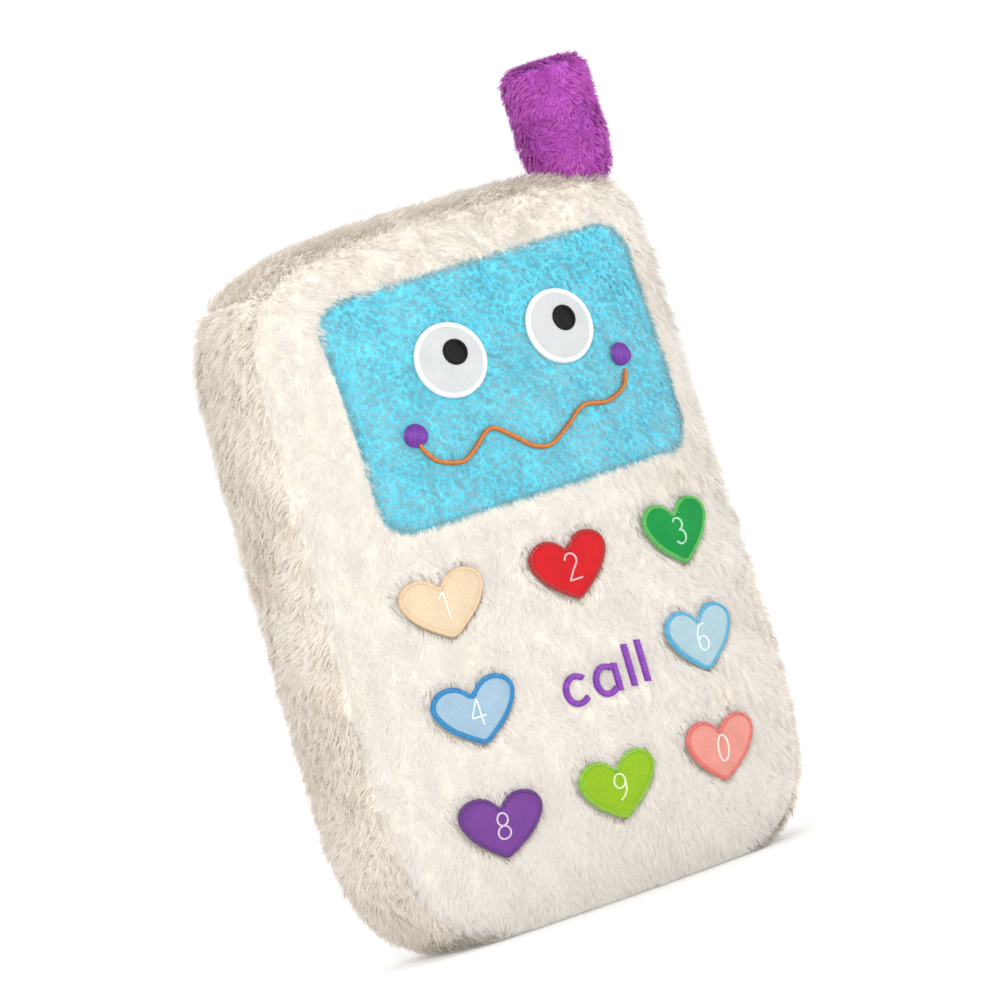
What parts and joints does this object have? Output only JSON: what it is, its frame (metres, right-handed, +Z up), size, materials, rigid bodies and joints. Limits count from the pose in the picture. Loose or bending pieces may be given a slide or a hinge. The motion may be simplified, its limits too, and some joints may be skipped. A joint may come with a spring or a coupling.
{
  "type": "plush toy cell phone",
  "caption": "Stuffed faux-fur toy cell phone with a stubby fur antenna, a soft screen with a stitched face, heart-shaped fabric keys that press, and a hidden sound unit.",
  "frame": {"origin": "middle of the object's box at its flat bottom", "axes": "+Z up towards the antenna, -Y out of the front with the screen and keys, +X towards the antenna's side"},
  "size_m": [0.2389, 0.1317, 0.401],
  "materials": {
    "cream_plush": "matte",
    "screen_plush": "matte",
    "antenna_plush": "matte",
    "stuffing": "matte",
    "white_felt": "matte",
    "black_thread": "satin",
    "purple_thread": "satin",
    "orange_thread": "satin",
    "case_plastic": "matte",
    "door_plastic": "satin",
    "switch_plastic": "satin",
    "cap_plastic": "satin",
    "knob_plastic": "satin",
    "circuit_film": "satin",
    "circuit_board": "satin",
    "speaker_metal": "matte",
    "cell_metal": "satin",
    "latch_metal": "satin",
    "heart_1_cloth": "matte",
    "heart_1_thread": "satin",
    "heart_2_cloth": "matte",
    "heart_2_thread": "satin",
    "heart_3_cloth": "matte",
    "heart_3_thread": "satin",
    "heart_4_cloth": "matte",
    "heart_4_thread": "satin",
    "heart_6_cloth": "matte",
    "heart_6_thread": "satin",
    "heart_8_cloth": "matte",
    "heart_8_thread": "satin",
    "heart_9_cloth": "matte",
    "heart_9_thread": "satin",
    "heart_0_cloth": "matte",
    "heart_0_thread": "satin"
  },
  "bodies": {
    "phone_body": {"front_panel": "cream_plush", "back_panel": "cream_plush", "gusset": "cream_plush", "screen_panel": "screen_plush", "stuffing": "stuffing", "eye_left": "white_felt", "eye_right": "white_felt", "pupil_left": "black_thread", "pupil_right": "black_thread", "cheek_left": "purple_thread", "cheek_right": "purple_thread", "mouth": "orange_thread", "key_membrane": "circuit_film", "module_case": "case_plastic", "module_lid": "case_plastic", "sound_board": "circuit_board", "speaker": "speaker_metal", "battery_1": "cell_metal", "battery_2": "cell_metal", "battery_3": "cell_metal", "key_1_switch": "switch_plastic", "key_2_switch": "switch_plastic", "key_3_switch": "switch_plastic", "key_4_switch": "switch_plastic", "key_6_switch": "switch_plastic", "key_8_switch": "switch_plastic", "key_9_switch": "switch_plastic", "key_0_switch": "switch_plastic"},
    "key_1": {"heart_1": "heart_1_cloth", "heart_1_border": "heart_1_thread", "key_1_cap": "cap_plastic"},
    "key_2": {"heart_2": "heart_2_cloth", "heart_2_border": "heart_2_thread", "key_2_cap": "cap_plastic"},
    "key_3": {"heart_3": "heart_3_cloth", "heart_3_border": "heart_3_thread", "key_3_cap": "cap_plastic"},
    "key_4": {"heart_4": "heart_4_cloth", "heart_4_border": "heart_4_thread", "key_4_cap": "cap_plastic"},
    "key_6": {"heart_6": "heart_6_cloth", "heart_6_border": "heart_6_thread", "key_6_cap": "cap_plastic"},
    "key_8": {"heart_8": "heart_8_cloth", "heart_8_border": "heart_8_thread", "key_8_cap": "cap_plastic"},
    "key_9": {"heart_9": "heart_9_cloth", "heart_9_border": "heart_9_thread", "key_9_cap": "cap_plastic"},
    "key_0": {"heart_0": "heart_0_cloth", "heart_0_border": "heart_0_thread", "key_0_cap": "cap_plastic"},
    "antenna": {"antenna_cover": "antenna_plush", "antenna_stuffing": "stuffing"},
    "flap": {"closure_flap": "cream_plush"},
    "door": {"battery_door": "door_plastic"},
    "latch": {"door_latch": "latch_metal"},
    "switch_knob": {"power_switch": "knob_plastic"}
  },
  "joints": [
    {"name": "key_1_press", "type": "slide", "parent": "phone_body", "child": "key_1", "axis": [0.2411, 0.9705, -0.0039], "range_m": [0, 0.003], "stiffness_N_per_m": 300},
    {"name": "key_2_press", "type": "slide", "parent": "phone_body", "child": "key_2", "axis": [-0.0042, 1, 0], "range_m": [0, 0.003], "stiffness_N_per_m": 300},
    {"name": "key_3_press", "type": "slide", "parent": "phone_body", "child": "key_3", "axis": [-0.271, 0.9626, 0], "range_m": [0, 0.003], "stiffness_N_per_m": 300},
    {"name": "key_4_press", "type": "slide", "parent": "phone_body", "child": "key_4", "axis": [0.2337, 0.9722, 0.0147], "range_m": [0, 0.003], "stiffness_N_per_m": 300},
    {"name": "key_6_press", "type": "slide", "parent": "phone_body", "child": "key_6", "axis": [-0.2368, 0.9714, 0.0187], "range_m": [0, 0.003], "stiffness_N_per_m": 300},
    {"name": "key_8_press", "type": "slide", "parent": "phone_body", "child": "key_8", "axis": [0.2132, 0.966, 0.146], "range_m": [0, 0.003], "stiffness_N_per_m": 300},
    {"name": "key_9_press", "type": "slide", "parent": "phone_body", "child": "key_9", "axis": [0.0035, 0.9848, 0.1735], "range_m": [0, 0.003], "stiffness_N_per_m": 300},
    {"name": "key_0_press", "type": "slide", "parent": "phone_body", "child": "key_0", "axis": [-0.1854, 0.9712, 0.1499], "range_m": [0, 0.003], "stiffness_N_per_m": 300},
    {"name": "antenna_flex", "type": "hinge", "parent": "phone_body", "child": "antenna", "pos_m": [0.099, -0.012, 0.356], "axis": [0, 1, 0], "range_deg": [-15, 15], "stiffness_Nm_per_rad": 0.3},
    {"name": "flap_hinge", "type": "hinge", "parent": "phone_body", "child": "flap", "pos_m": [0, 0.0605, 0.1557], "axis": [1, 0, 0], "range_deg": [0, 110], "stiffness_Nm_per_rad": 0.01},
    {"name": "battery_door_slide", "type": "slide", "parent": "phone_body", "child": "door", "axis": [0, 0, -1], "range_m": [0, 0.01]},
    {"name": "door_latch_turn", "type": "hinge", "parent": "phone_body", "child": "latch", "pos_m": [0, 0.05, 0.1065], "axis": [0, 1, 0], "range_deg": [0, 180]},
    {"name": "power_switch_slide", "type": "slide", "parent": "phone_body", "child": "switch_knob", "axis": [1, 0, 0], "range_m": [0, 0.005]}
  ]
}
